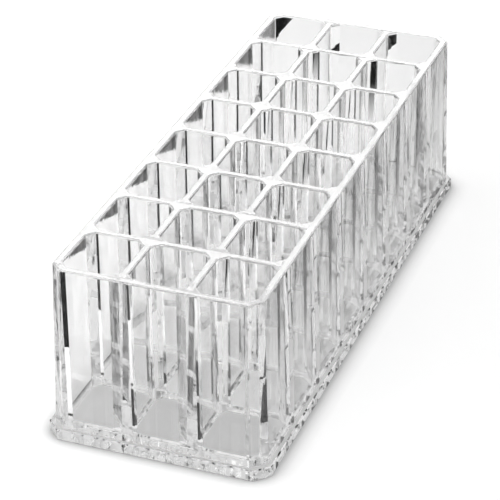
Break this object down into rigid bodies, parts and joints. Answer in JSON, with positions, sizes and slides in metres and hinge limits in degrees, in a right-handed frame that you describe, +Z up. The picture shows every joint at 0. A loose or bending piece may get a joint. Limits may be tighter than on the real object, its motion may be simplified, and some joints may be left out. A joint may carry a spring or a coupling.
{
  "type": "vanity organizer",
  "caption": "Clear acrylic vanity organizer: a long open box on a flanged base plate, divided into a grid of upright cells with chamfered corners for lip gloss, lipstick and brushes.",
  "frame": {"origin": "middle of the underside of the base plate, on the surface that it stands on", "axes": "+Z up towards the rim, +X across the three columns of cells, +Y along the length from the front wall to the rear wall"},
  "size_m": [0.0914, 0.2518, 0.074],
  "materials": {
    "clear_acrylic": "polished, water-clear moulded acrylic"
  },
  "bodies": {
    "root": {"base_plate": "clear_acrylic", "front_wall": "clear_acrylic", "rear_wall": "clear_acrylic", "left_wall": "clear_acrylic", "right_wall": "clear_acrylic", "long_divider_1": "clear_acrylic", "long_divider_2": "clear_acrylic", "cross_divider_1": "clear_acrylic", "cross_divider_2": "clear_acrylic", "cross_divider_3": "clear_acrylic", "cross_divider_4": "clear_acrylic", "cross_divider_5": "clear_acrylic", "cross_divider_6": "clear_acrylic", "cross_divider_7": "clear_acrylic"}
  },
  "joints": []
}
